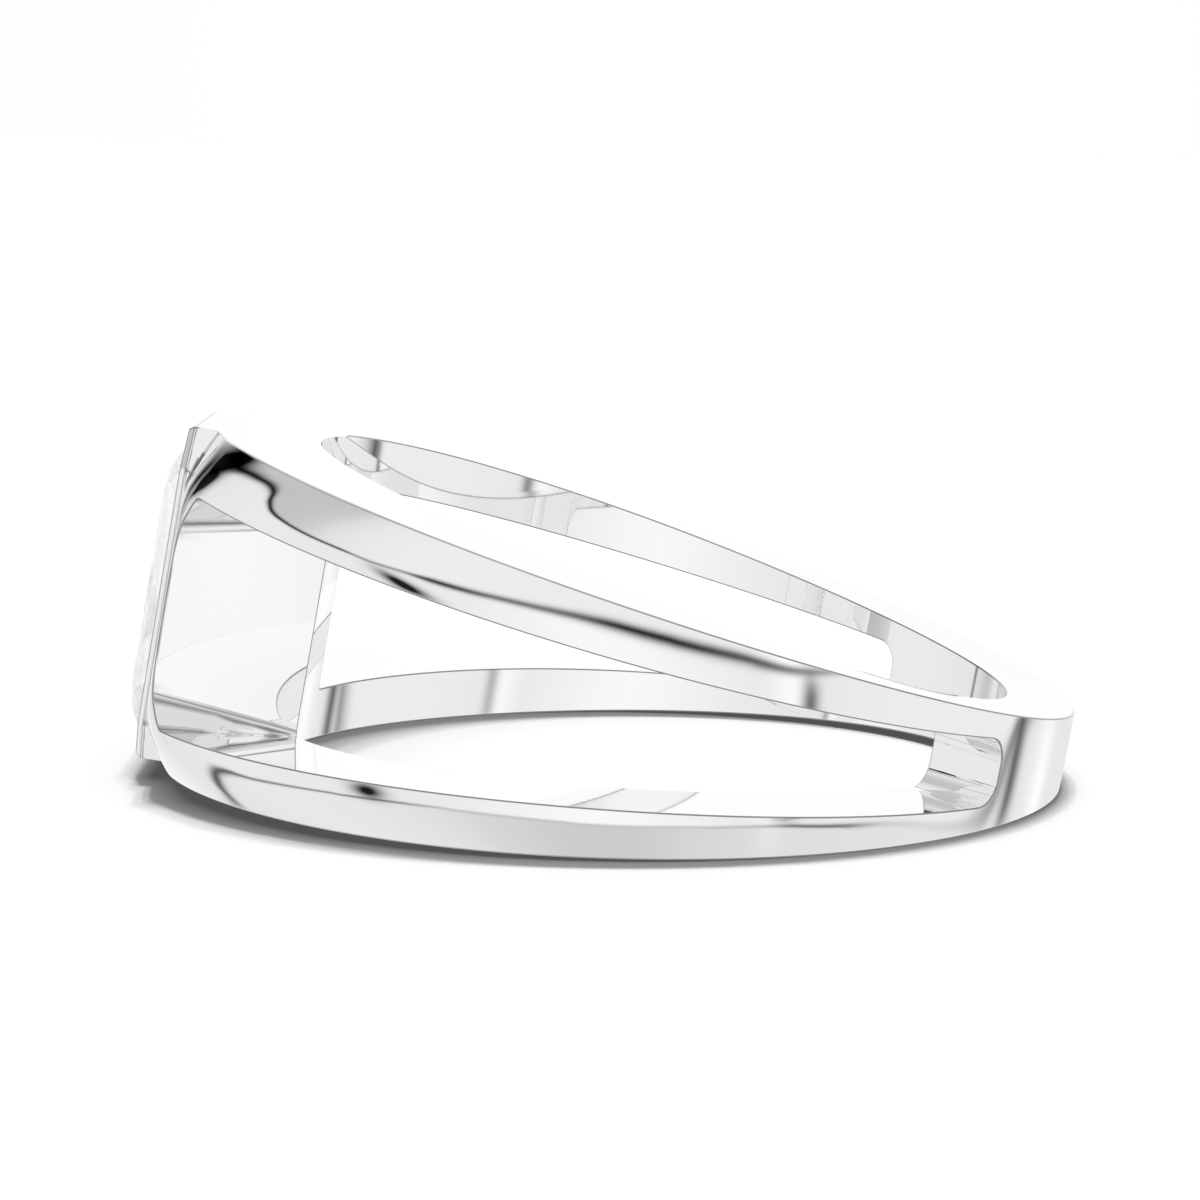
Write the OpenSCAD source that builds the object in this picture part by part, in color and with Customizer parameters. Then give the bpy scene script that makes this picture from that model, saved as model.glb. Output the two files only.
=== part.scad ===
// Split shank ring in white metal with a clear step-cut stone, sizes in mm.
// The ring is worked out about its finger hole: z runs along the finger, the head is at -x.
// After that it is tilted to the angle at which it lies still on its side, and set on z = 0.

/* [Shank] */
// Diameter of the finger hole
finger_d = 17; // [16.6:0.1:17.4]
// Radius of the outside of the shank, at mid width
outer_r = 11.22; // [11.1:0.01:11.5]
// How far the outside circle is moved from the finger hole towards the head
outer_shift = 1.074; // [0.9:0.01:1.2]
// Half width of the shank at the back
back_half = 0.934; // [0.9:0.01:1.1]
// Half width of the shank at the head
head_half = 4.046; // [3.9:0.01:4.2]
// How far the sides of the shank bow out at mid length
side_bow = 0.143; // [0:0.01:0.2]
// Fall of the domed outside, part that grows with the square of the distance from mid width
dome_square = 0.0099; // [0:0.001:0.02]
// Fall of the domed outside, part that grows with the fourth power
dome_fourth = 0.0041; // [0.003:0.0001:0.005]

/* [Windows] */
// Half width of the gap between the rails at the back, before its end is rounded
gap_back_half = 0.567; // [0.5:0.01:0.65]
// Half width of the gap between the rails at the head
gap_head_half = 2.731; // [2.5:0.01:2.8]
// How far the gap's sides bow in at mid length
gap_bow = 0.119; // [0:0.01:0.15]
// Angle round the finger at which the gap ends, from the back of the ring
gap_end = 41.3; // [38:0.1:46]
// Rounding of the corners at the gap's end
gap_corner_r = 0.55; // [0.3:0.01:0.6]
// Angle round the finger at which the gap stops beside the head, from the back of the ring
gap_stop = 155.7; // [154:0.1:157]
// Half width of the gap's wall beside the head, at the outside
stop_outer_half = 1.88; // [1.6:0.01:2.2]
// Half width of the gap's wall beside the head, at the finger hole
stop_inner_half = 2.45; // [2.2:0.01:2.5]

/* [Head] */
// Distance from the finger axis to the front of the stone's rim
rim_front = 11.44; // [11.4:0.01:11.6]
// Distance from the finger axis to the rails' front where it meets the rim
land_front = 11.24; // [11.2:0.01:11.26]
// Half length of the rim, along the finger
rim_half_z = 3.95; // [3.93:0.01:4]
// Half width of the rim, round the finger
rim_half_y = 2.95; // [2.9:0.01:3.1]
// Size of the rim's cut corner, along the finger
rim_cut_z = 0.95; // [0.8:0.05:1.1]
// Size of the rim's cut corner, round the finger
rim_cut_y = 0.75; // [0.6:0.05:0.9]
// Height of the bevel round the rim's front
bevel_height = 0.155; // [0.1:0.005:0.16]
// How far the bevel draws the rim's front in
bevel_inset = 0.1; // [0.05:0.01:0.12]

/* [Stone] */
// Length of the stone, along the finger
stone_length = 7; // [6.8:0.05:7]
// Width of the stone, round the finger
stone_width = 5; // [4.8:0.05:5]
// Distance from the finger axis to the stone's table
table_front = 11.84; // [11.8:0.01:11.9]
// Gap between the stone and its seat
seat_gap = 0.035; // [0.03:0.005:0.05]

/* [Rest] */
// Angle at which the ring lies still on its side
rest_tilt = 9.28; // [9:0.01:9.6]

/* [Hidden] */

metal_color = [0.9, 0.9, 0.92];
stone_color = [0.86, 0.93, 0.97];

finger_r = finger_d / 2;

// The sides and the gap are given by x, from the back to the head.
back_x = 10;
head_x = -11.3;
// A side face or gap wall keeps this share of the outside's slope where it meets the finger hole.
side_slope_kept = 0.234;
gap_slope_kept = 0.318;
// Distances past the metal that the cutting shapes and the band's inside run to.
inside_r = finger_r - 0.35;
cut_inside_r = finger_r - 0.6;
cut_outside_r = 13.4;
hole_length = 20;

band_columns = 120;
dome_steps = 14;
gap_columns = 48;
gap_corner_columns = 6;
// The gap narrows to its wall beside the head over this angle.
stop_angle = 1.3;

function along(x) = (x - back_x) / (head_x - back_x);
function bow(x, size) = size * 4 * along(x) * (1 - along(x));
function side_half(x) = back_half + (head_half - back_half) * along(x) + bow(x, side_bow);
function gap_half(x) = gap_back_half + (gap_head_half - gap_back_half) * along(x) - bow(x, gap_bow);

// The head's top and bottom are nearly flat. They fall slightly towards the finger hole.
flat_rise = 0.031;
function flat_z(x) = rim_half_z + flat_rise * (-x - rim_front);
function top_half(x) = min(side_half(x), flat_z(x));

// Radius of the outside circle at height z, and the distance to it from the finger axis.
function dome_r(z) = outer_r - dome_square * z * z - dome_fourth * pow(z, 4);
function dome(a, z) =
    -outer_shift * cos(a) + sqrt(pow(dome_r(z), 2) - pow(outer_shift * sin(a), 2));

// Beside the stone's rim the dome is cut off. The cut leans back from the rim, and it falls away
// past a height near the rim's corners.
land_slope = 0.064;
land_fall = 0.44;
land_fall_z = 2.75;
land_soft = 0.06;
function land_x(z) =
    let (past = abs(z) - land_fall_z)
    land_front - land_fall * (past + sqrt(past * past + land_soft)) / 2;
function land(a, z) =
    (land_x(z) + land_slope * rim_half_y) / (-cos(a) + land_slope * abs(sin(a)));
function outside(a, z) = cos(a) < -0.5 ? min(dome(a, z), land(a, z)) : dome(a, z);

// Height of the outside's edge at an angle: the height there depends on x, which depends on it.
function side_edge(a, z = 3, tries = 9) =
    tries == 0 ? z : side_edge(a, top_half(outside(a, z) * cos(a)), tries - 1);
function gap_edge(a, z = 2, tries = 9) =
    tries == 0 ? z : gap_edge(a, gap_half(outside(a, z) * cos(a)), tries - 1);

// x that sets the height at the finger hole, for a wall whose outer edge is r away.
function inner_x(a, r, kept) = (finger_r + (r - finger_r) * (1 - kept)) * cos(a);
// Height at distance d on the straight line through both edges of a wall.
function ruled(d, r, z_out, z_in) = z_in + (z_out - z_in) * (d - finger_r) / (r - finger_r);

function polar(r, a, z) = [r * cos(a), r * sin(a), z];

// One section of the band: down the domed outside, then up the inside.
function band_section(a) =
    let (
        top = side_edge(a),
        r = outside(a, top),
        top_in = top_half(inner_x(a, r, side_slope_kept)),
        z_in = ruled(inside_r, r, top, top_in)
    )
    concat(
        [for (i = [0 : dome_steps])
            let (z = top * (1 - 2 * i / dome_steps))
            polar(outside(a, z), a, z)],
        [polar(inside_r, a, -z_in), polar(inside_r, a, z_in)]
    );

band_points = [for (c = [0 : band_columns - 1]) each band_section(360 * c / band_columns)];

module band() {
    count = dome_steps + 3;
    polyhedron(
        points = band_points,
        faces = [
            for (c = [0 : band_columns - 1])
                let (d = (c + 1) % band_columns)
                for (i = [0 : count - 1])
                    let (j = (i + 1) % count)
                    each [
                        [c * count + j, c * count + i, d * count + i],
                        [c * count + j, d * count + i, d * count + j]
                    ]
        ],
        convexity = 6
    );
}

// Angles of the gap's sections: close together where its corners are rounded. The rounding is
// measured this far outside the finger hole.
corner_depth = 1.3;
corner_angle = gap_corner_r / (finger_r + corner_depth) * 180 / PI;
gap_full = gap_end + corner_angle;
gap_angles = concat(
    [for (i = [0 : gap_corner_columns - 1])
        gap_end + corner_angle * (1 - cos(90 * i / gap_corner_columns))],
    [for (i = [0 : gap_columns])
        gap_full + (gap_stop - stop_angle - gap_full) * i / gap_columns]
);
// How much lower the gap's edge is inside its rounded corners.
function corner_fall(a) =
    a >= gap_full ? 0 : gap_corner_r * (1 - sqrt(1 - pow(1 - (a - gap_end) / corner_angle, 2)));

// A section of the gap whose sides pass these heights at the outside, r away, and at the finger hole.
function gap_outline(a, r, z_out, z_in) = [
    polar(cut_inside_r, a, ruled(cut_inside_r, r, z_out, z_in)),
    polar(cut_inside_r, a, -ruled(cut_inside_r, r, z_out, z_in)),
    polar(cut_outside_r, a, -ruled(cut_outside_r, r, z_out, z_in)),
    polar(cut_outside_r, a, ruled(cut_outside_r, r, z_out, z_in))
];

function gap_section(a) =
    let (
        edge = gap_edge(a),
        r = outside(a, edge),
        edge_in = gap_half(inner_x(a, r, gap_slope_kept)),
        fall = corner_fall(a)
    )
    gap_outline(a, r, edge - fall, edge_in - fall);

stop_section = gap_outline(gap_stop, outside(gap_stop, stop_outer_half), stop_outer_half, stop_inner_half);

// A closed shape through sections that have the same number of points.
module loft(sections, convexity = 4) {
    count = len(sections[0]);
    last = (len(sections) - 1) * count;
    polyhedron(
        points = [for (s = sections) each s],
        faces = concat(
            [[for (i = [count - 1 : -1 : 0]) i]],
            [[for (i = [0 : count - 1]) last + i]],
            [
                for (c = [0 : len(sections) - 2])
                    for (i = [0 : count - 1])
                        let (j = (i + 1) % count)
                        each [
                            [c * count + i, c * count + j, (c + 1) * count + i],
                            [c * count + j, (c + 1) * count + j, (c + 1) * count + i]
                        ]
            ]
        ),
        convexity = convexity
    );
}

module window() {
    loft(concat([for (a = gap_angles) gap_section(a)], [stop_section]), 6);
}

// Corners of an eight-sided outline in y and z, at distance d in front of the finger axis.
function eight(d, half_y, half_z, cut_y, cut_z) = [
    [-d, half_y, half_z - cut_z],
    [-d, half_y - cut_y, half_z],
    [-d, -half_y + cut_y, half_z],
    [-d, -half_y, half_z - cut_z],
    [-d, -half_y, -half_z + cut_z],
    [-d, -half_y + cut_y, -half_z],
    [-d, half_y - cut_y, -half_z],
    [-d, half_y, -half_z + cut_z]
];

// The rim runs back into the rails, and stays under their top faces there.
rim_root = 10.2;
rim_root_half_z = 3.85;
rim_cut = norm([rim_cut_y, rim_cut_z]);
// Drawing the outline in by the bevel makes its cut corners this much smaller.
bevel_cut = bevel_inset * (rim_cut_y + rim_cut_z - rim_cut);
module rim() {
    loft([
        eight(rim_root, rim_half_y, rim_root_half_z, rim_cut_y, rim_cut_z),
        eight(rim_front - bevel_height, rim_half_y, rim_half_z, rim_cut_y, rim_cut_z),
        eight(
            rim_front,
            rim_half_y - bevel_inset,
            rim_half_z - bevel_inset,
            rim_cut_y - bevel_cut / rim_cut_z,
            rim_cut_z - bevel_cut / rim_cut_y
        )
    ]);
}

// The stone's outlines: depth behind the table, width and length taken off each side, cut corner.
//                depth  inset  cut
stone_outlines = [
    [0, 0.86, 0.4],
    [0.11, 0.55, 0.45],
    [0.33, 0.2, 0.5],
    [0.62, 0, 0.55],
    [0.72, 0, 0.55],
    [1.55, 0.62, 0.5],
    [2.3, 1.4, 0.4],
    [2.95, 2.42, 0.04]
];
girdle_top = stone_outlines[3];
girdle_bottom = stone_outlines[4];
pavilion = stone_outlines[5];

function stone_section(row, grow = 0) =
    eight(
        table_front - row[0],
        stone_width / 2 - row[1] + grow,
        stone_length / 2 - row[1] + grow,
        row[2],
        row[2]
    );

// The seat holds the girdle: it narrows to the rim in front, and follows the pavilion behind.
seat_front = 0.1;
seat_back = 1.3;
open_back_r = 8;
function between(a, b, depth) = a + (b - a) * (depth - a[0]) / (b[0] - a[0]);
crown = stone_outlines[2];
seat_front_row = between(crown, girdle_top, seat_front);
seat_back_row = between(girdle_bottom, pavilion, seat_back);
behind_row = [table_front - open_back_r, seat_back_row[1], seat_back_row[2]];

module seat() {
    loft([
        for (row = [behind_row, seat_back_row, girdle_bottom, girdle_top, seat_front_row])
            stone_section(row, seat_gap)
    ]);
}

// The lowest point and the middle of the tilted ring, from the points of its own outline.
function tilted_x(p) = p.x * cos(rest_tilt) + p.z * sin(rest_tilt);
function tilted_z(p) = p.z * cos(rest_tilt) - p.x * sin(rest_tilt);
function foot(a) =
    let (
        edge = side_edge(a),
        r = outside(a, edge),
        edge_in = top_half(inner_x(a, r, side_slope_kept))
    )
    min(tilted_z(polar(r, a, -edge)), tilted_z(polar(finger_r, a, -edge_in)));
table_points = stone_section(stone_outlines[0]);
lift = -min([for (c = [0 : band_columns - 1]) foot(360 * c / band_columns)]);
middle_x = (max([for (p = band_points) tilted_x(p)]) + min([for (p = table_points) tilted_x(p)])) / 2;

module as_it_lies() {
    translate([-middle_x, 0, lift])
        rotate([0, rest_tilt, 0])
            children();
}

module split_shank_setting() {
    color(metal_color)
        as_it_lies()
            difference() {
                union() {
                    band();
                    rim();
                }
                cylinder(r = finger_r, h = hole_length, center = true, $fn = 96);
                window();
                mirror([0, 1, 0])
                    window();
                seat();
            }
}

module stone() {
    color(stone_color)
        as_it_lies()
            loft([for (i = [len(stone_outlines) - 1 : -1 : 0]) stone_section(stone_outlines[i])]);
}

split_shank_setting();
stone();
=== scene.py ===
import bpy
import math
import bmesh
import numpy as np
from mathutils import Matrix, Vector
from mathutils.geometry import delaunay_2d_cdt


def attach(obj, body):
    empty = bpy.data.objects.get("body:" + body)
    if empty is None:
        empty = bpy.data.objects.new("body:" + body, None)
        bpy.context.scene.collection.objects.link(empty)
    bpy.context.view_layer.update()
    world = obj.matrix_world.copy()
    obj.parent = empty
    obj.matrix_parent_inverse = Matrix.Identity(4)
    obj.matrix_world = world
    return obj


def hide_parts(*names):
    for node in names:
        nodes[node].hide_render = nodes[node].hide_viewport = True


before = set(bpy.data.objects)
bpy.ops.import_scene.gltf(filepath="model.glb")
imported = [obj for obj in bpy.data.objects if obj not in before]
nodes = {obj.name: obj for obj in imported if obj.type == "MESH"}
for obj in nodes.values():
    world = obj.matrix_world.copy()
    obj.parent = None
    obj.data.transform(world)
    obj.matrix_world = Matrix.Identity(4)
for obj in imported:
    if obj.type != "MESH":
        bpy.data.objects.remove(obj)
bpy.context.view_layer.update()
print("frame loaded:", sorted(nodes))

mm = 0.001


# A shader socket that can be added, multiplied and so on.
class Wire:
    def __init__(self, tree, socket=None):
        self.tree, self.socket = tree, socket

    # Makes a node and gives one of its outputs. Settings come first, then values or links of sockets.
    def make(self, kind, settings=None, values=None, out=0):
        node = self.tree.nodes.new("ShaderNode" + kind)
        for name, value in (settings or {}).items():
            if name == "curve":  # a curve's list of place and value
                curve = node.mapping.curves[0]
                for place, height in value[1:-1]:
                    curve.points.new(place, height)
                for point, (place, height) in zip(curve.points, value):
                    point.location = (place, height)
                node.mapping.update()
            else:
                setattr(node, name, value)
        for name, value in (values or {}).items():
            if isinstance(value, Wire):
                self.tree.links.new(value.socket, node.inputs[name])
            else:
                node.inputs[name].default_value = value
        return Wire(self.tree, node.outputs[out] if node.outputs else None)

    def maths(self, operation, *values):
        return self.make("Math", {"operation": operation}, dict(enumerate(values)))

    def __add__(self, other):
        return self.maths("ADD", self, other)

    def __radd__(self, other):
        return self.maths("ADD", other, self)

    def __sub__(self, other):
        return self.maths("SUBTRACT", self, other)

    def __rsub__(self, other):
        return self.maths("SUBTRACT", other, self)

    def __mul__(self, other):
        return self.maths("MULTIPLY", self, other)

    def __rmul__(self, other):
        return self.maths("MULTIPLY", other, self)

    def __truediv__(self, other):
        return self.maths("DIVIDE", self, other)

    def __rtruediv__(self, other):
        return self.maths("DIVIDE", other, self)


def freshMaterial(name):
    material = bpy.data.materials.new(name)
    material.use_nodes = True
    material.node_tree.nodes.clear()
    return material, Wire(material.node_tree)


def dress(piece, material):
    piece.data.materials.clear()
    piece.data.materials.append(material)


# Camera, at the photo's angle to the ring as it lies
ring = {
    "restTilt": 9.28,  # degrees that the finger's axis leans
    "middleX": -0.980795,  # mm: the frame's origin, from the finger hole's middle
    "lift": 2.55225,  # mm: the hole's middle above the floor
}
camera = {
    "azimuth": 0.178,  # degrees, about the ring as the photo holds it
    "elevation": 7.467,
    "photoTilt": 10.224,
    "place": (-3.598, -84.987, 12.248),  # from the finger hole's middle, mm
    "focal": 3602,  # pixels
    "side": 1200,
    "sensor": 36,  # mm
    "sees": (0.002, 10),  # metres, nearest and furthest
}


def turnAboutY(degrees):
    return Matrix.Rotation(math.radians(degrees), 3, "Y")


def asItLies(point):
    turned = turnAboutY(ring["restTilt"]) @ Vector(point)
    return (turned + Vector((-ring["middleX"], 0, ring["lift"]))) * mm


def addCamera():
    a, e = math.radians(camera["azimuth"]), math.radians(camera["elevation"])
    ahead = Vector((math.sin(a) * math.cos(e), math.cos(a) * math.cos(e), -math.sin(e)))
    right = Vector((math.cos(a), -math.sin(a), 0))
    above = right.cross(ahead)
    level = turnAboutY(ring["restTilt"] - camera["photoTilt"])
    data = bpy.data.cameras.new("camera")
    data.lens = camera["sensor"] * camera["focal"] / camera["side"]
    data.sensor_width = camera["sensor"]
    data.clip_start, data.clip_end = camera["sees"]
    view = bpy.data.objects.new("camera", data)
    bpy.context.scene.collection.objects.link(view)
    turn = Matrix((right, above, -ahead)).transposed()
    view.matrix_world = Matrix.Translation(asItLies(camera["place"])) @ (level @ turn).to_4x4()
    bpy.context.scene.camera = view


addCamera()
print("camera placed")

# Floor and soft light all round
studio = {
    "floorColour": (0.145, 0.145, 0.145, 1),  # the lights above bring it to a pale white
    "floorHalf": 3.0,  # metres
    # lights above, hidden from metal and stone: strength, spread and lean in degrees
    "lights": [(4.7, 4, (-7, -2)), (4.7, 4, (-7, 3)), (4.7, 4, (-7, 8)), (7.0, 70, (0, 0))],
    "mirrorings": 12,  # how often a ray may bounce from metal to metal
}
# The white room that the metal mirrors. Headings run from 0 behind the ring through 0.25 on its
# right and 0.5 at the camera to 0.75 on its left, and heights are degrees above level.
room = {
    # brightness of the room's middle, and of what is above and below it
    "middle": [
        (0, 1.03), (0.04, 0.99), (0.1, 0.99), (0.15, 0.93), (0.19, 0.88), (0.3, 0.87), (0.38, 0.84),
        (0.44, 0.91), (0.5, 0.97), (0.56, 0.91), (0.61, 0.85), (0.7, 0.84), (0.8, 0.85), (0.88, 0.82),
        (0.94, 0.92), (1, 1.03),
    ],
    "above": [
        (0, 0.85), (0.3, 0.88), (0.5, 0.87), (0.67, 0.86), (0.72, 0.78), (0.77, 0.58), (0.85, 0.56),
        (0.92, 0.72), (1, 0.85),
    ],
    "below": [
        (0, 0.82), (0.3, 0.78), (0.42, 0.71), (0.5, 0.62), (0.56, 0.67), (0.66, 0.8), (0.8, 0.83),
        (0.9, 0.78), (1, 0.82),
    ],
    # a dark line between the middle and what is above: its height, half width and darkness
    "upperHeight": [
        (0, 36), (0.1, 34), (0.2, 25), (0.3, 10), (0.36, 1.5), (0.417, 8), (0.47, 16), (0.5, 20.5),
        (0.55, 24.5), (0.6, 27), (0.639, 29), (0.667, 29.8), (0.7, 31.4), (0.753, 32.4), (0.77, 32.9),
        (0.79, 33.9), (0.806, 36.3), (0.833, 40.3), (0.861, 37), (0.89, 31), (0.93, 31), (1, 36),
    ],
    "upperHalf": [
        (0, 2), (0.36, 2), (0.42, 3.5), (0.48, 4), (0.52, 3), (0.58, 1.9), (0.617, 1.7), (0.64, 1.0),
        (0.76, 0.8), (0.8, 1.2), (0.84, 1.8), (0.87, 3), (0.9, 5), (0.94, 4), (1, 2),
    ],
    "upperDark": [
        (0, 0.7), (0.2, 0.7), (0.33, 0.5), (0.38, 0.75), (0.42, 0.9), (0.48, 0.97), (0.51, 0.85),
        (0.56, 0.78), (0.6, 0.92), (0.617, 0.95), (0.635, 0.78), (0.65, 0.6), (0.685, 0.6), (0.702, 0.92),
        (0.73, 0.92), (0.785, 0.97), (0.84, 0.97), (0.9, 0.99), (0.93, 0.7), (1, 0.7),
    ],
    # and a fainter one between the middle and what is below
    "lowerHeight": [
        (0, -8), (0.1, -9), (0.167, -13), (0.192, -20), (0.3, -23.3), (0.343, -24.1), (0.372, -24.3),
        (0.428, -26), (0.5, -28.5), (0.6, -29.5), (0.78, -30), (0.815, -28), (0.83, -28), (0.847, -30),
        (0.862, -32), (0.88, -34.5), (0.92, -30), (1, -8),
    ],
    "lowerHalf": [
        (0, 1), (0.14, 2), (0.18, 2.5), (0.22, 1), (0.6, 0.8), (0.78, 0.8), (0.83, 1.7), (0.87, 2),
        (0.92, 1), (1, 1),
    ],
    "lowerDark": [
        (0, 0), (0.12, 0.1), (0.167, 0.6), (0.2, 0.35), (0.25, 0.15), (0.31, 0.5), (0.343, 0.8),
        (0.372, 0.6), (0.41, 0.3), (0.6, 0.3), (0.66, 0.7), (0.72, 0.7), (0.78, 0.7), (0.83, 0.85),
        (0.87, 0.75), (0.9, 0.2), (1, 0),
    ],
    "brightest": 2,  # the most that "middle" may hold
    "widest": 10,  # degrees, the most that the half widths may hold
    # soft patches: heading, height, half widths of both, darkness, and how many degrees a patch would
    # rise over a whole turn; a darkness below 0 makes it brighter
    "patches": [
        (0.897, 28, 0.0135, 6.5, 2.5, 0),
        (0.882, 20, 0.012, 6, 2.5, 0),
        (0.914, 14, 0.022, 16, 1.0, 0),
        (0.64, 21.9, 0.024, 2.5, 1.2, 180),
        (0.666, -26, 0.0135, 4.2, 1.1, -60),
        (0.166, -17, 0.009, 5, 0.75, 0),
        (0.372, -21.4, 0.009, 1.8, 0.75, 0),
        (0.379, -1, 0.013, 30, -0.2, 0),
        (0.3665, -9, 0.0065, 9, 0.8, 0),
        (0.128, 0, 0.02, 20, -0.12, 0),
        (0.115, -16, 0.014, 4, -0.19, 0),
        (0.882, 6, 0.003, 16, 0.85, 0),  # narrow and upright, like joints in the room's walls
        (0.167, 2, 0.003, 22, 0.5, 0),
    ],
    "darkest": 0.985,  # the most that a patch may take away
}


def addFloor():
    half = studio["floorHalf"]
    corners = [(-half, -half, 0), (half, -half, 0), (half, half, 0), (-half, half, 0)]
    mesh = bpy.data.meshes.new("floor")
    mesh.from_pydata(corners, [], [(0, 1, 2, 3)])
    floor = bpy.data.objects.new("floor", mesh)
    bpy.context.scene.collection.objects.link(floor)
    material, start = freshMaterial("pale floor")
    surface = start.make("BsdfDiffuse", {}, {"Color": studio["floorColour"]})
    start.make("OutputMaterial", {}, {"Surface": surface})
    dress(floor, material)
    floor.visible_glossy = False  # the metal mirrors the white room, not the floor
    floor.visible_transmission = False


def addRoom():
    world = bpy.data.worlds.new("studio")
    bpy.context.scene.world = world
    world.use_nodes = True
    world.node_tree.nodes.clear()
    world.cycles.sampling_method = "NONE"  # quicker, and the room is even enough
    start = Wire(world.node_tree)
    way = start.make("SeparateXYZ", {}, {0: start.make("TexCoord", {}, {}, "Generated")})
    across, deep, up = (Wire(world.node_tree, way.socket.node.outputs[i]) for i in range(3))
    heading = start.maths("FRACT", start.maths("ARCTAN2", across, deep) / (2 * math.pi))
    height = start.maths("ARCSINE", up) * (180 / math.pi)

    def curve(name, low=0, high=1):
        points = [(place, (value - low) / (high - low)) for place, value in room[name]]
        return start.make("FloatCurve", {"curve": points}, {"Value": heading}) * (high - low) + low

    def past(offset):  # 0 before a line and 1 past it, over two degrees
        share = start.maths("MAXIMUM", 0.0, offset * 0.5 + 0.5)
        return start.maths("SMOOTH_MIN", 1.0, share, 0.1)

    def bump(offset):  # 1 at 0, falling off smoothly to 0
        return start.maths("EXPONENT", offset * offset * -1)

    upper, lower = curve("upperHeight", -90, 90), curve("lowerHeight", -90, 90)
    isAbove, isBelow = past(height - upper), past(lower - height)
    light = curve("middle", 0, room["brightest"]) * (1 - isAbove) + curve("above") * isAbove
    light = light * (1 - isBelow) + curve("below") * isBelow
    upperHalf, lowerHalf = (curve(name, 0, room["widest"]) for name in ("upperHalf", "lowerHalf"))
    light = light * (1 - curve("upperDark") * bump((height - upper) / upperHalf))
    light = light * (1 - curve("lowerDark") * bump((height - lower) / lowerHalf))
    for place, level, halfPlace, halfLevel, dark, rise in room["patches"]:
        aside = heading - place
        shade = dark * bump(aside / halfPlace) * bump((height - level - aside * rise) / halfLevel)
        light = light * (1 - start.maths("MINIMUM", shade, room["darkest"]))
    colour = start.make("CombineColor", {}, {0: light, 1: light, 2: light})
    sky = start.make("Background", {}, {"Color": colour, "Strength": 1.0})
    start.make("OutputWorld", {}, {"Surface": sky})


def addLights():
    for strength, spread, lean in studio["lights"]:
        above = bpy.data.lights.new("light above", "SUN")
        above.energy = strength
        above.angle = math.radians(spread)
        lamp = bpy.data.objects.new("light above", above)
        lamp.rotation_euler = (math.radians(lean[0]), math.radians(lean[1]), 0)
        lamp.visible_glossy = False
        lamp.visible_transmission = False
        bpy.context.scene.collection.objects.link(lamp)


addFloor()
addRoom()
addLights()
bpy.context.scene.view_settings.view_transform = "Standard"
bpy.context.scene.cycles.glossy_bounces = studio["mirrorings"]
print("studio set")

# The white metal: its surfaces as distances, and a mesh drawn onto them. Until the mesh is laid
# down, the finger's axis is +Z, the head is at -X and sizes are in mm.
shank = {
    "fingerR": 8.5,
    "outerR": 11.22,
    "outerShift": 1.074,  # the outside circle sits this far towards the head
    "backHalf": 0.934,
    "headHalf": 4.046,
    "sideBow": 0.143,
    "domeSquare": 0.0099,  # the dome's fall, by the square and the fourth power of the height
    "domeFourth": 0.0041,
    "backX": 10,  # the half widths are those at these two places
    "headX": -11.3,
    "slopeKept": 0.234,  # how far the side follows its taper inwards, from 0 to 1
    "edgeRound": 0.03,
}
window = {
    "backHalf": 0.567,
    "headHalf": 2.731,
    "bow": 0.119,
    "slopeKept": 0.318,
    "end": 41.3,  # degrees round the finger, from the back
    "stop": 155.7,  # the wall by the head
    "stopAngle": 1.3,  # its outer corner is this much nearer to the back
    "stopOuterHalf": 1.88,
    "stopInnerHalf": 2.45,
    "endRound": 0.55,
    "endDepth": 1.3,  # from the finger hole to where the end's round is measured
    "cornerRound": 0.05,
    "edgeRound": 0.03,
}
head = {
    "rimFront": 11.44,
    "landFront": 11.24,  # the rails' front where it meets the rim
    "landSlope": 0.064,  # how much it stands back per mm to the side
    "landFall": 0.44,  # how steeply the land falls away past landFallStart
    "landFallStart": 2.75,
    "landSoft": 0.06,
    "landReach": 0.5,  # cosine of the angle from the head's middle where the land ends
    "creaseZ": (2.2, 3.4),  # the blend from dome to land is wider high up
    "creaseSoft": (0.12, 0.34),
    "topSoft": 0.02,
    "rimHalfY": 2.95,
    "rimHalfZ": 3.95,
    "flatRise": 0.031,  # how much higher the rim's top is per mm to the front
    "facetTopY": 2.2,
    "facetSideZ": 3.0,
    "bevelBack": 11.285,  # the bevel round the rim's front edge
    "bevelInset": 0.1,
    "rimRound": 0.02,
    "flare": 0.05,  # the round in the crease between rim and rails
    "rimBack": 9.0,
}
seat = {
    "halfY": 2.535,
    "halfZ": 3.535,
    "front": [7.9, 10.54, 11.12, 11.22, 11.74],  # distance from the finger's axis
    "inset": [0.433, 0.433, 0, 0, 0.359],
    "cut": [0.515, 0.515, 0.55, 0.55, 0.46],
    "back": 7,  # nothing is hollowed out behind this
    "lipRound": 0.02,
}
tiny = 1e-3  # mm, for slopes worked out as a difference


def along(x):
    return (x - shank["backX"]) / (shank["headX"] - shank["backX"])


def taper(x, back, front, bow):
    return back + (front - back) * along(x) + bow * 4 * along(x) * (1 - along(x))


def softMax(a, b, width):
    blend = np.maximum(width - np.abs(a - b), 0) / width
    return np.maximum(a, b) + blend * blend * width / 4


def roundMax(a, b, radius):
    both = np.hypot(np.maximum(a + radius, 0), np.maximum(b + radius, 0))
    return np.minimum(-radius, np.maximum(a, b)) + both


def roundMin(a, b, radius):
    return -roundMax(-a, -b, radius)


def topHalf(x):
    sides = taper(x, shank["backHalf"], shank["headHalf"], shank["sideBow"])
    flat = head["rimHalfZ"] - head["flatRise"] * (x + head["rimFront"])
    return -softMax(-sides, -flat, head["topSoft"])


def gapHalf(x):
    return taper(x, window["backHalf"], window["headHalf"], -window["bow"])


def domeR(z):
    return shank["outerR"] - shank["domeSquare"] * z**2 - shank["domeFourth"] * z**4


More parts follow.
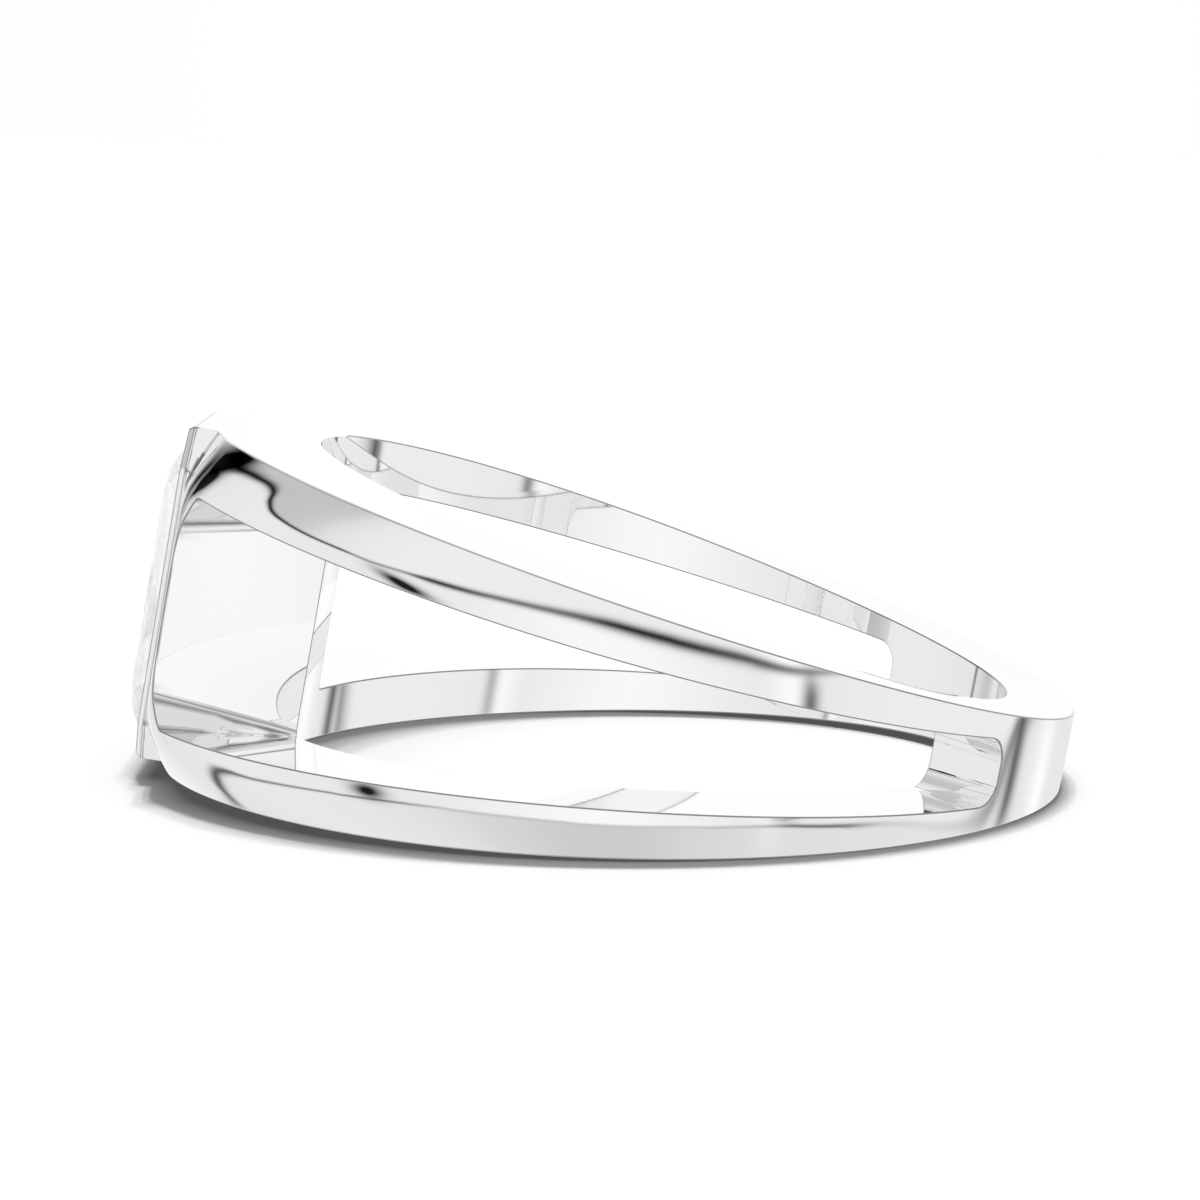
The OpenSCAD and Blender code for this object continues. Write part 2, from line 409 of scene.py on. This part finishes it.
def landX(z):
    past = z - head["landFallStart"]
    return head["landFront"] - head["landFall"] * (past + np.sqrt(past**2 + head["landSoft"])) / 2


# The outside's distance from the finger's axis, at an angle round it and a height.
def outside(a, z):
    shift, slope, reach = shank["outerShift"], head["landSlope"], head["landReach"]
    dome = -shift * np.cos(a) + np.sqrt(domeR(z) ** 2 - (shift * np.sin(a)) ** 2)
    ahead = np.maximum(-np.cos(a), reach)
    land = (landX(z) + slope * head["rimHalfY"]) / (ahead + slope * np.sin(a))
    return np.where(np.cos(a) < -reach, np.minimum(dome, land), dome)


# Heights of the sides' and the gaps' edges, worked out once for every eighth of a degree.
turns = np.radians(np.linspace(0, 180, 1441))


def edgeTable(half, slopeKept):
    z = np.full_like(turns, 2.0)
    for _ in range(20):  # height and distance depend on each other, so they settle in rounds
        z = half(outside(turns, z) * np.cos(turns))
    r = outside(turns, z)
    inner = half((shank["fingerR"] + (r - shank["fingerR"]) * (1 - slopeKept)) * np.cos(turns))
    return {"out": z, "in": inner, "r": r}


sideEdges = edgeTable(topHalf, shank["slopeKept"])
gapEdges = edgeTable(gapHalf, window["slopeKept"])


def edgeAt(edges, name, a):
    return np.interp(a, turns, edges[name])


def wallHeight(edges, a, d):
    rise = (edges["out"] - edges["in"]) / (edges["r"] - shank["fingerR"])
    return edgeAt(edges, "in", a) + np.interp(a, turns, rise) * (d - shank["fingerR"])


# How far a point is above a side's or a gap's surface, at a right angle to it.
def wallDistance(edges, a, d, z):
    here = wallHeight(edges, a, d)
    acrossRise = (wallHeight(edges, a, d + tiny) - here) / tiny
    roundRise = (wallHeight(edges, a + tiny, d) - wallHeight(edges, a - tiny, d)) / (2 * tiny * d)
    return (z - here) / np.sqrt(1 + acrossRise**2 + roundRise**2)


# The way that the rim's cut corner faces, as its shares of Y and Z.
facetWay = np.array([head["rimHalfZ"] - head["facetSideZ"], head["rimHalfY"] - head["facetTopY"]])
facetWay /= np.linalg.norm(facetWay)


# How far a point is outside the rim's sides: the long one, the cut corner and the short one.
def rimSides(x, y, z):
    top = z - head["rimHalfZ"] + head["flatRise"] * (x + head["rimFront"])
    facet = facetWay[0] * (y - head["rimHalfY"]) + facetWay[1] * (z - head["facetSideZ"])
    return y - head["rimHalfY"], facet, top


# How far a point is in front of the plane through three corners.
def planeThrough(corners, outward):
    a, b, c = (np.array(corner, float) for corner in corners)
    normal = np.cross(b - a, c - a)
    normal /= np.linalg.norm(normal) * (1 if normal @ np.array(outward) > 0 else -1)
    return lambda x, y, z: normal[0] * (x - a[0]) + normal[1] * (y - a[1]) + normal[2] * (z - a[2])


def polar(d, a, z):
    return np.stack([d * np.cos(a), d * np.sin(a), z * np.ones_like(a)], axis=-1)


# The window's wall by the head is flat, through two corners outside and one in the finger hole.
stopTurn = math.radians(window["stop"])
stopWide = math.radians(window["stop"] - window["stopAngle"])
endTurn = math.radians(window["end"])
stopCorners = [
    polar(outside(np.array(stopTurn), window["stopOuterHalf"]), np.array(stopTurn), window["stopOuterHalf"]),
    polar(edgeAt(gapEdges, "r", stopWide), np.array(stopWide), edgeAt(gapEdges, "out", stopWide)),
    polar(shank["fingerR"], np.array(stopTurn), window["stopInnerHalf"]),
]
stopPlane = planeThrough(stopCorners, (-1, 0, 1))


# How far a point is outside the shank's and the rails' dome and the land beside the rim.
def bandDistance(x, y, z):
    steep = 2 * shank["domeSquare"] * z + 4 * shank["domeFourth"] * z**3
    dome = (np.hypot(x + shank["outerShift"], y) - domeR(z)) / np.sqrt(1 + steep**2)
    slope = head["landSlope"]
    fall = (landX(z + tiny) - landX(z)) / tiny
    land = (-x - landX(z) + slope * (y - head["rimHalfY"])) / np.sqrt(1 + slope**2 + fall**2)
    return softMax(dome, land, np.interp(z, head["creaseZ"], head["creaseSoft"]))


def rimDistance(x, y, z):
    bevelRise = head["rimFront"] - head["bevelBack"]
    bevelSize = math.hypot(bevelRise, head["bevelInset"])
    rim, bevel = None, None
    for side in rimSides(x, y, z):
        sloped = (side * bevelRise - (x + head["bevelBack"]) * head["bevelInset"]) / bevelSize
        rim = side if rim is None else roundMax(rim, side, head["rimRound"])
        bevel = sloped if bevel is None else roundMax(bevel, sloped, head["rimRound"])
    rim = roundMax(roundMax(rim, bevel, head["rimRound"]), -x - head["rimFront"], head["rimRound"])
    return np.maximum(rim, x + head["rimBack"])


def windowDistance(x, y, z, a, d):
    gap = roundMax(wallDistance(gapEdges, a, d, z), -d * np.sin(a - endTurn), window["endRound"])
    gap = roundMax(gap, d * np.sin(a - stopTurn), window["cornerRound"])
    return roundMax(gap, stopPlane(x, y, z), window["cornerRound"])


# How far a point is outside the seat's hollow, which is widest at the stone's girdle.
def hollowDistance(x, y, z):
    inset = np.interp(-x, seat["front"], seat["inset"])
    cut = np.interp(-x, seat["front"], seat["cut"])
    seatY, seatZ = y - seat["halfY"] + inset, z - seat["halfZ"] + inset
    hollow = np.maximum(np.maximum(seatY, seatZ), (seatY + seatZ + cut) / math.sqrt(2))
    return np.maximum(hollow, x + seat["back"])


# How far a point is outside the metal; it is negative inside.
def metalDistance(points):
    x, y, z = points[:, 0], np.abs(points[:, 1]), np.abs(points[:, 2])
    d, a = np.hypot(x, y), np.arctan2(y, x)
    solid = roundMin(bandDistance(x, y, z), rimDistance(x, y, z), head["flare"])
    solid = roundMax(solid, wallDistance(sideEdges, a, d, z), shank["edgeRound"])
    solid = roundMax(solid, shank["fingerR"] - d, shank["edgeRound"])
    solid = roundMax(solid, -windowDistance(x, y, z, a, d), window["edgeRound"])
    return roundMax(solid, -hollowDistance(x, y, z), seat["lipRound"])


def slopeOf(points, step=0.002):
    rises = [metalDistance(points + move) - metalDistance(points - move) for move in np.eye(3) * step]
    return np.stack(rises, axis=1) / (2 * step)


# Where the painted dark lines go: painted reflections along outward edges and painted shade in inward
# creases.
paintedLineSettings = {
    "reach": 0.012,  # mm over which a bend is felt
    "outward": (9, 18),  # bend where a line starts, and how much more makes it full
    "inward": (2.5, 6),
    "seatFront": 11.2,  # the seat behind this has none
    "seatMargin": 0.1,
}


# How sharply the metal bends at its points: 0 where it is flat or gently curved, 1 on its edges. This masks
# the painted dark lines: painted reflections along outward edges and painted shade in inward creases.
def sharpness(points):
    reach, outward, inward = paintedLineSettings["reach"], paintedLineSettings["outward"], paintedLineSettings["inward"]
    bend = -6 * metalDistance(points)
    for move in np.eye(3) * reach:
        bend += metalDistance(points + move) + metalDistance(points - move)
    bend /= reach**2
    ahead, aside = -points[:, 0], np.abs(points[:, 1])
    inSeat = (ahead > seat["back"]) & (ahead < paintedLineSettings["seatFront"])
    inSeat &= aside < seat["halfY"] + paintedLineSettings["seatMargin"]
    paintedEdgeReflection = np.clip((bend - outward[0]) / outward[1], 0, 1)
    paintedCreaseShade = np.clip((-bend - inward[0]) / inward[1], 0, 1)
    return (paintedEdgeReflection + paintedCreaseShade) * ~inSeat


# How finely the metal is drawn: mm between points, and numbers of points or rows.
drawing = {
    "closeRows": np.array([0, 0.015, 0.024, 0.036, 0.058, 0.1, 0.2]),  # mm from an edge
    "mostClose": 0.4,  # of a strip's width, for the close rows on one side
    "rowClear": 0.97,  # of a close row's distance, to every other edge
    "mirrorClear": 0.02,
    "spacing": 0.32,
    "gridClear": 0.4,  # of the spacing, past the close rows
    "mirrorStep": 0.16,
    "flatR": 10.5,  # the outside is laid flat, as angle times this and height
    "windowCorner": 14,
    "windowSide": 130,
    "windowBend": 7,
    "windowStop": 13,
    "sideEdge": 190,
    "rim": (19, 15, 14),  # half its length, its cut corner and half its width
    "creaseRows": 4,
    "wallRows": 6,
    "tries": 10,  # rounds that bring points onto the surface
    "leastSlope": 0.2,
    "longestMove": 0.15,
    "weld": 1e-4,
    "normalStep": 0.004,
}
closeRows = drawing["closeRows"]


# Brings points onto the metal's surface, along its slope.
def ontoMetal(points, held):
    for _ in range(drawing["tries"]):
        slope = slopeOf(points)
        size = np.maximum((slope**2).sum(1), drawing["leastSlope"])
        step = -(metalDistance(points) / size)[:, None] * slope
        step[held] = 0  # what lies on a mirror plane stays on it
        points = points + np.clip(step, -drawing["longestMove"], drawing["longestMove"])
    return points


# Places of a strip's rows as shares of its width. They crowd together at both sides.
def crowdedShares(width, middleRows):
    most = closeRows / closeRows[-1] * drawing["mostClose"]
    near = np.minimum(closeRows[None, :] / width[:, None], most[None, :])
    last = near[:, -1:]
    middle = last + (1 - 2 * last) * (np.arange(1, middleRows + 1) / (middleRows + 1))[None, :]
    return np.concatenate([near, middle, 1 - near[:, ::-1]], axis=1)


# Points and faces between two lines of as many points each.
def strip(first, second, middleRows, close=True):
    if close:
        shares = crowdedShares(np.linalg.norm(second - first, axis=1), middleRows)
    else:
        shares = np.repeat(np.linspace(0, 1, middleRows + 2)[None, :], len(first), 0)
    grid = first[:, None, :] + (second - first)[:, None, :] * shares[:, :, None]
    rows = shares.shape[1]
    index = np.arange(len(first) * rows).reshape(len(first), rows)
    faces = np.stack([index[:-1, :-1], index[1:, :-1], index[1:, 1:], index[:-1, 1:]], axis=-1)
    return grid.reshape(-1, 3), [tuple(f) for f in faces.reshape(-1, 4)]


def distanceToLines(points, lines):
    best = np.full(len(points), 1e9)
    for line in lines:
        for a, b in zip(line[:-1], line[1:]):
            ab = b - a
            share = np.clip(((points - a) @ ab) / max(ab @ ab, 1e-12), 0, 1)
            best = np.minimum(best, np.linalg.norm(points - a - share[:, None] * ab, axis=1))
    return best


def insideLoop(points, loop):
    inside = np.zeros(len(points), bool)
    for a, b in zip(loop, np.roll(loop, -1, axis=0)):
        spans = (a[1] > points[:, 1]) != (b[1] > points[:, 1])
        rise = b[1] - a[1] if abs(b[1] - a[1]) > 1e-12 else 1e-12
        inside ^= spans & (points[:, 0] < (b[0] - a[0]) * (points[:, 1] - a[1]) / rise + a[0])
    return inside


# Rows of points over an outline's box, each row half a step beside the last, for even triangles.
def evenGrid(low, high, spacing):
    rows, rowStep = [], spacing * 0.866
    for k, height in enumerate(np.arange(low[1], high[1], rowStep)):
        row = np.arange(low[0] + (k % 2) * spacing / 2, high[0], spacing)
        rows.append(np.stack([row, np.full(len(row), height)], axis=1))
    return np.concatenate(rows)


# Fills a flat outline with triangles that follow its edges closely. The edges are lists of points;
# those marked "mirror" lie on a mirror plane and get no close rows.
def fillOutline(edges):
    spacing = drawing["spacing"]
    loop = np.concatenate([edge[:-1] for _, edge in edges])
    sharp = [edge for kind, edge in edges if kind != "mirror"]
    plain = [edge for kind, edge in edges if kind == "mirror"]
    inner = []
    for offset in closeRows[1:]:
        for edge in sharp:
            run = np.gradient(edge, axis=0)
            run /= np.linalg.norm(run, axis=1)[:, None]
            moved = edge + offset * np.stack([-run[:, 1], run[:, 0]], axis=1)
            isClear = distanceToLines(moved, sharp) > drawing["rowClear"] * offset
            isClear &= distanceToLines(moved, plain) > drawing["mirrorClear"]
            inner.append(moved[insideLoop(moved, loop) & isClear])
    grid = evenGrid(loop.min(0), loop.max(0), spacing)
    isClear = distanceToLines(grid, sharp) > closeRows[-1] + drawing["gridClear"] * spacing
    isClear &= distanceToLines(grid, plain) > drawing["gridClear"] * spacing
    inner.append(grid[insideLoop(grid, loop) & isClear])
    points = np.concatenate([loop] + inner)
    count = len(loop)
    sides = [(i, (i + 1) % count) for i in range(count)]
    # 1 asks for the triangles inside the outline
    _, _, faces, origins, _, _ = delaunay_2d_cdt([Vector(p) for p in points], sides, [], 1, 1e-6)
    return points, [tuple(origins[v][0] for v in face) for face in faces]


# Points along a straight line on a mirror plane, crowded at both ends.
def mirrorRun(first, last):
    first, last = np.array(first, float), np.array(last, float)
    length = np.linalg.norm(last - first)
    near = closeRows[closeRows < length / 3] / length
    count = max(2, int(round(length * (1 - 2 * near[-1]) / drawing["mirrorStep"])))
    middle = np.linspace(near[-1], 1 - near[-1], count + 1)[1:-1]
    shares = np.concatenate([near, middle, 1 - near[::-1]])
    return first + (last - first) * shares[:, None]


# Points along a quarter of an outline of the head, whose corners are given from its side to its top.
def alongCorners(x, corners):
    runs = []
    for first, last, count in zip(corners[:-1], corners[1:], drawing["rim"]):
        shares = np.linspace(0, 1, count + 1)[(1 if runs else 0):, None]
        runs.append(np.array(first) + (np.array(last) - np.array(first)) * shares)
    run = np.concatenate(runs)
    return np.concatenate([np.full((len(run), 1), x), run], axis=1)


def rimRing(x, inset):
    y, z = head["rimHalfY"] - inset, head["rimHalfZ"] - head["flatRise"] * (x + head["rimFront"]) - inset
    sideZ = head["facetSideZ"] + (inset * facetWay[0] - inset) / facetWay[1]
    topY = head["rimHalfY"] + (-inset - facetWay[1] * (z - head["facetSideZ"])) / facetWay[0]
    return alongCorners(x, [(y, 0), (y, sideZ), (topY, z), (0, z)])


def seatRing(front):
    inset = np.interp(front, seat["front"], seat["inset"])
    cut = np.interp(front, seat["front"], seat["cut"])
    y, z = seat["halfY"] - inset, seat["halfZ"] - inset
    return alongCorners(-front, [(y, 0), (y, z - cut), (y - cut, z), (0, z)])


# The window's edge, outside or inside: straight end, rounded corner, long side, wall by the head.
def windowEdge(name, stopHalf):
    endRound = window["endRound"]
    cornerTurn = endRound / (shank["fingerR"] + window["endDepth"])
    arc = np.linspace(0, math.pi / 2, drawing["windowCorner"])
    arcTurns = endTurn + cornerTurn * (1 - np.cos(arc))
    corner = np.stack([arcTurns, edgeAt(gapEdges, name, arcTurns) - endRound * (1 - np.sin(arc))], axis=1)
    end = np.array([[endTurn, corner[0, 1] * share] for share in (0, 0.5)])
    longTurns = np.linspace(endTurn + cornerTurn, stopWide, drawing["windowSide"])
    side = np.stack([longTurns, edgeAt(gapEdges, name, longTurns)], axis=1)
    share = np.linspace(0, 1, drawing["windowBend"])[1:, None]
    bend = side[-1] + (np.array([stopTurn, stopHalf]) - side[-1]) * share
    down = np.linspace(stopHalf, 0, drawing["windowStop"])[1:]
    stop = np.stack([np.full(len(down), stopTurn), down], axis=1)
    return np.concatenate([end, corner, side[1:], bend, stop])


# The crease where the rim stands on the rails. Its last point also lies on the side's edge.
def creaseBelow(bevelLine):
    crease = bevelLine[:sum(drawing["rim"][:2]) + 1].copy()
    for _ in range(4):  # the last point's place and height depend on each other
        crease[:, 0] = head["landSlope"] * (crease[:, 1] - head["rimHalfY"]) - landX(crease[:, 2])
        crease[-1, 2] = topHalf(crease[-1, 0])
    return crease


# The outside and the finger hole's wall are laid flat, by angle and height.
def turnAndHeight(line):
    return np.stack([np.arctan2(line[:, 1], line[:, 0]), line[:, 2]], axis=1)


def onOutside(flat):
    a, z = flat[:, 0] / drawing["flatR"], flat[:, 1]
    return polar(outside(a, z), a, z)


def onInside(flat):
    return polar(shank["fingerR"], flat[:, 0] / shank["fingerR"], flat[:, 1])


# The rim's bevel, its front face, and the seat from its lip back to the finger hole.
def drawHeadFront(bevelLine):
    frontLine = rimRing(-head["rimFront"], head["bevelInset"])
    fronts = [head["rimFront"]] + seat["front"][3:0:-1]
    lip, lipBack, ledgeFront, ledgeBack = (seatRing(front) for front in fronts)
    opening = ledgeBack.copy()
    opening[:, 0] = -np.sqrt(shank["fingerR"] ** 2 - opening[:, 1] ** 2)
    pieces = [
        strip(bevelLine, frontLine, 3),
        strip(frontLine, lip, 3),
        strip(lip, lipBack, 1),
        strip(lipBack, ledgeFront, 1, close=False),
        strip(ledgeFront, ledgeBack, 3),
        strip(ledgeBack, opening, 5),
    ]
    return pieces, opening


# A quarter of the setting, near its surface, as pieces of points and faces.
def drawMetal():
    fingerR, flatR = shank["fingerR"], drawing["flatR"]
    flatOut, flatIn = np.array([flatR, 1.0]), np.array([fingerR, 1.0])
    windowOut = windowEdge("out", window["stopOuterHalf"]) * flatOut
    windowIn = windowEdge("in", window["stopInnerHalf"]) * flatIn
    bevelLine = rimRing(-head["bevelBack"], 0)
    creaseLine = creaseBelow(bevelLine)
    crease = turnAndHeight(creaseLine)
    rootTurn = crease[-1, 0]
    sideTurns = np.linspace(0, rootTurn, drawing["sideEdge"])
    sideOut = np.stack([sideTurns, edgeAt(sideEdges, "out", sideTurns)], axis=1)
    sideOut[-1] = crease[-1]
    points, faces = fillOutline([
        ("mirror", mirrorRun((0, 0), (endTurn * flatR, 0))),
        ("edge", windowOut),
        ("mirror", mirrorRun((stopTurn * flatR, 0), (crease[0, 0] * flatR, 0))),
        ("edge", crease * flatOut),
        ("edge", sideOut[::-1] * flatOut),
        ("mirror", mirrorRun((0, sideOut[0, 1]), (0, 0))),
    ])
    pieces = [(onOutside(points), faces)]

    # the side: its edge outside and the rim's outline, against its edge in the finger hole
    rimFoot, frontTop = bevelLine[:len(creaseLine)], bevelLine[len(creaseLine):]
    facetTop, _ = strip(creaseLine[-1:], rimFoot[-1:], drawing["creaseRows"])
    outer = np.concatenate([onOutside(sideOut * flatOut), facetTop[1:], frontTop])
    headTurns = np.linspace(rootTurn, math.pi, len(facetTop) + len(frontTop))[1:]
    innerTurns = np.concatenate([sideTurns, headTurns])
    sideIn = np.stack([innerTurns, edgeAt(sideEdges, "in", innerTurns)], axis=1)
    pieces.append(strip(outer, polar(fingerR, sideIn[:, 0], sideIn[:, 1]), drawing["wallRows"]))
    pieces.append(strip(onInside(windowIn), onOutside(windowOut), drawing["wallRows"]))
    pieces.append(strip(creaseLine, rimFoot, drawing["creaseRows"]))

    # the head's front, and the finger hole's wall round its opening
    headPieces, opening = drawHeadFront(bevelLine)
    pieces += headPieces
    mouth = turnAndHeight(opening)
    points, faces = fillOutline([
        ("mirror", mirrorRun((0, 0), (endTurn * fingerR, 0))),
        ("edge", windowIn),
        ("mirror", mirrorRun((stopTurn * fingerR, 0), (mouth[0, 0] * fingerR, 0))),
        ("edge", mouth * flatIn),
        ("mirror", mirrorRun((math.pi * fingerR, mouth[-1, 1]), (math.pi * fingerR, sideIn[-1, 1]))),
        ("edge", sideIn[::-1] * flatIn),
        ("mirror", mirrorRun((0, sideIn[0, 1]), (0, 0))),
    ])
    pieces.append((onInside(points), [face[::-1] for face in faces]))
    return pieces


# The pieces' faces in one list. Each piece is turned as a whole, to face outwards.
def facingOut(points, pieces):
    faces, start = [], 0
    for own, ownFaces in pieces:
        moved = [tuple(int(i) + start for i in face) for face in ownFaces]
        middles = np.array([points[list(face)].mean(0) for face in moved])
        corners = np.array([(face[0], face[1], face[2], face[-1]) for face in moved])
        a, b, c, d = (points[corners[:, i]] for i in range(4))
        facing = (np.cross(b - a, c - a) + np.cross(c - a, d - a)) * slopeOf(middles)
        faces += [face[::-1] for face in moved] if facing.sum() < 0 else moved
        start += len(own)
    return faces


# A quarter and its mirror images, joined into one closed mesh.
def mirroredFourTimes(name, points, faces):
    whole = bmesh.new()
    for sideY in (1, -1):
        for sideZ in (1, -1):
            made = [whole.verts.new(p) for p in points * np.array([1, sideY, sideZ])]
            for face in faces:
                whole.faces.new([made[i] for i in (face if sideY * sideZ > 0 else face[::-1])])
    bmesh.ops.remove_doubles(whole, verts=whole.verts, dist=drawing["weld"])
    bmesh.ops.dissolve_degenerate(whole, edges=whole.edges, dist=drawing["weld"] / 10)
    mesh = bpy.data.meshes.new(name)
    whole.to_mesh(mesh)
    whole.free()
    return mesh


# The finished mesh as the ring lies, with the surface's own normals and the edges' sharpness, which masks
# the painted dark edge reflections and crease shade.
def meshOf(name, pieces):
    points = np.concatenate([own for own, _ in pieces])
    held = np.abs(points) < 1e-6
    held[:, 0] = False  # the mirror planes are those of Y = 0 and Z = 0
    points = ontoMetal(points, held)
    mesh = mirroredFourTimes(name, points, facingOut(points, pieces))
    at = np.empty(len(mesh.vertices) * 3)
    mesh.vertices.foreach_get("co", at)
    at = at.reshape(-1, 3)
    normals = slopeOf(at, drawing["normalStep"])
    normals /= np.linalg.norm(normals, axis=1)[:, None]
    turn = np.array(turnAboutY(ring["restTilt"]))
    laid = (at @ turn.T + np.array([-ring["middleX"], 0, ring["lift"]])) * mm
    mesh.vertices.foreach_set("co", laid.astype(np.float32).ravel())
    mesh.update()
    for polygon in mesh.polygons:
        polygon.use_smooth = True
    mesh.normals_split_custom_set_from_vertices([tuple(n) for n in normals @ turn.T])
    # the edges' sharpness, kept as the mask of the painted dark reflection and crease-shade lines
    edge = mesh.attributes.new("edge", "FLOAT", "POINT")
    edge.data.foreach_set("value", sharpness(at).astype(np.float32))
    return mesh


settingMesh = meshOf("ring metal", drawMetal())
metal = bpy.data.objects.new("ring_metal", settingMesh)
bpy.context.scene.collection.objects.link(metal)
triangles = sum(len(polygon.vertices) - 2 for polygon in settingMesh.polygons)
print("metal drawn:", len(settingMesh.vertices), "points", triangles, "triangles")
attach(metal, "root")
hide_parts("split_shank_setting")

whiteMetal = {
    "colour": (0.965, 0.965, 0.968, 1),
    "paintedLineColour": (0.3, 0.3, 0.3, 1),  # painted dark lines: painted reflections along the edges and painted shade in inward creases
    "roughness": 0.02,
    "polishMarks": 0.01,  # how much the roughness varies
    "polishScale": 900.0,
}


def metalMaterial():
    material, start = freshMaterial("polished white metal")
    polish = start.make("TexNoise", {}, {"Scale": whiteMetal["polishScale"], "Detail": 3.0})
    # the edges' sharpness mixes painted dark reflection and crease-shade lines into the base colour
    edge = start.make("Attribute", {"attribute_name": "edge"}, {}, "Fac")
    colours = {0: edge, 6: whiteMetal["colour"], 7: whiteMetal["paintedLineColour"]}
    surface = start.make("BsdfPrincipled", {}, {
        "Base Color": start.make("Mix", {"data_type": "RGBA"}, colours, 2),
        "Metallic": 1.0,
        "Roughness": polish * whiteMetal["polishMarks"] + whiteMetal["roughness"],
    })
    start.make("OutputMaterial", {}, {"Surface": surface})
    return material


dress(metal, metalMaterial())
print("metal done")

# Clear stone
clearStone = {
    "colour": (0.99, 0.995, 1.0, 1),
    "bend": 1.55,  # how strongly it bends light
    "solid": 0.38,  # the share of the surface that isn't plainly see-through
}


def stoneMaterial():
    material, start = freshMaterial("clear stone")
    surface = start.make("BsdfPrincipled", {}, {
        "Base Color": clearStone["colour"],
        "Transmission Weight": 1.0,
        "Roughness": 0.0,
        "IOR": clearStone["bend"],
        "Alpha": clearStone["solid"],
    })
    start.make("OutputMaterial", {}, {"Surface": surface})
    return material


dress(nodes["stone"], stoneMaterial())
print("stone done")
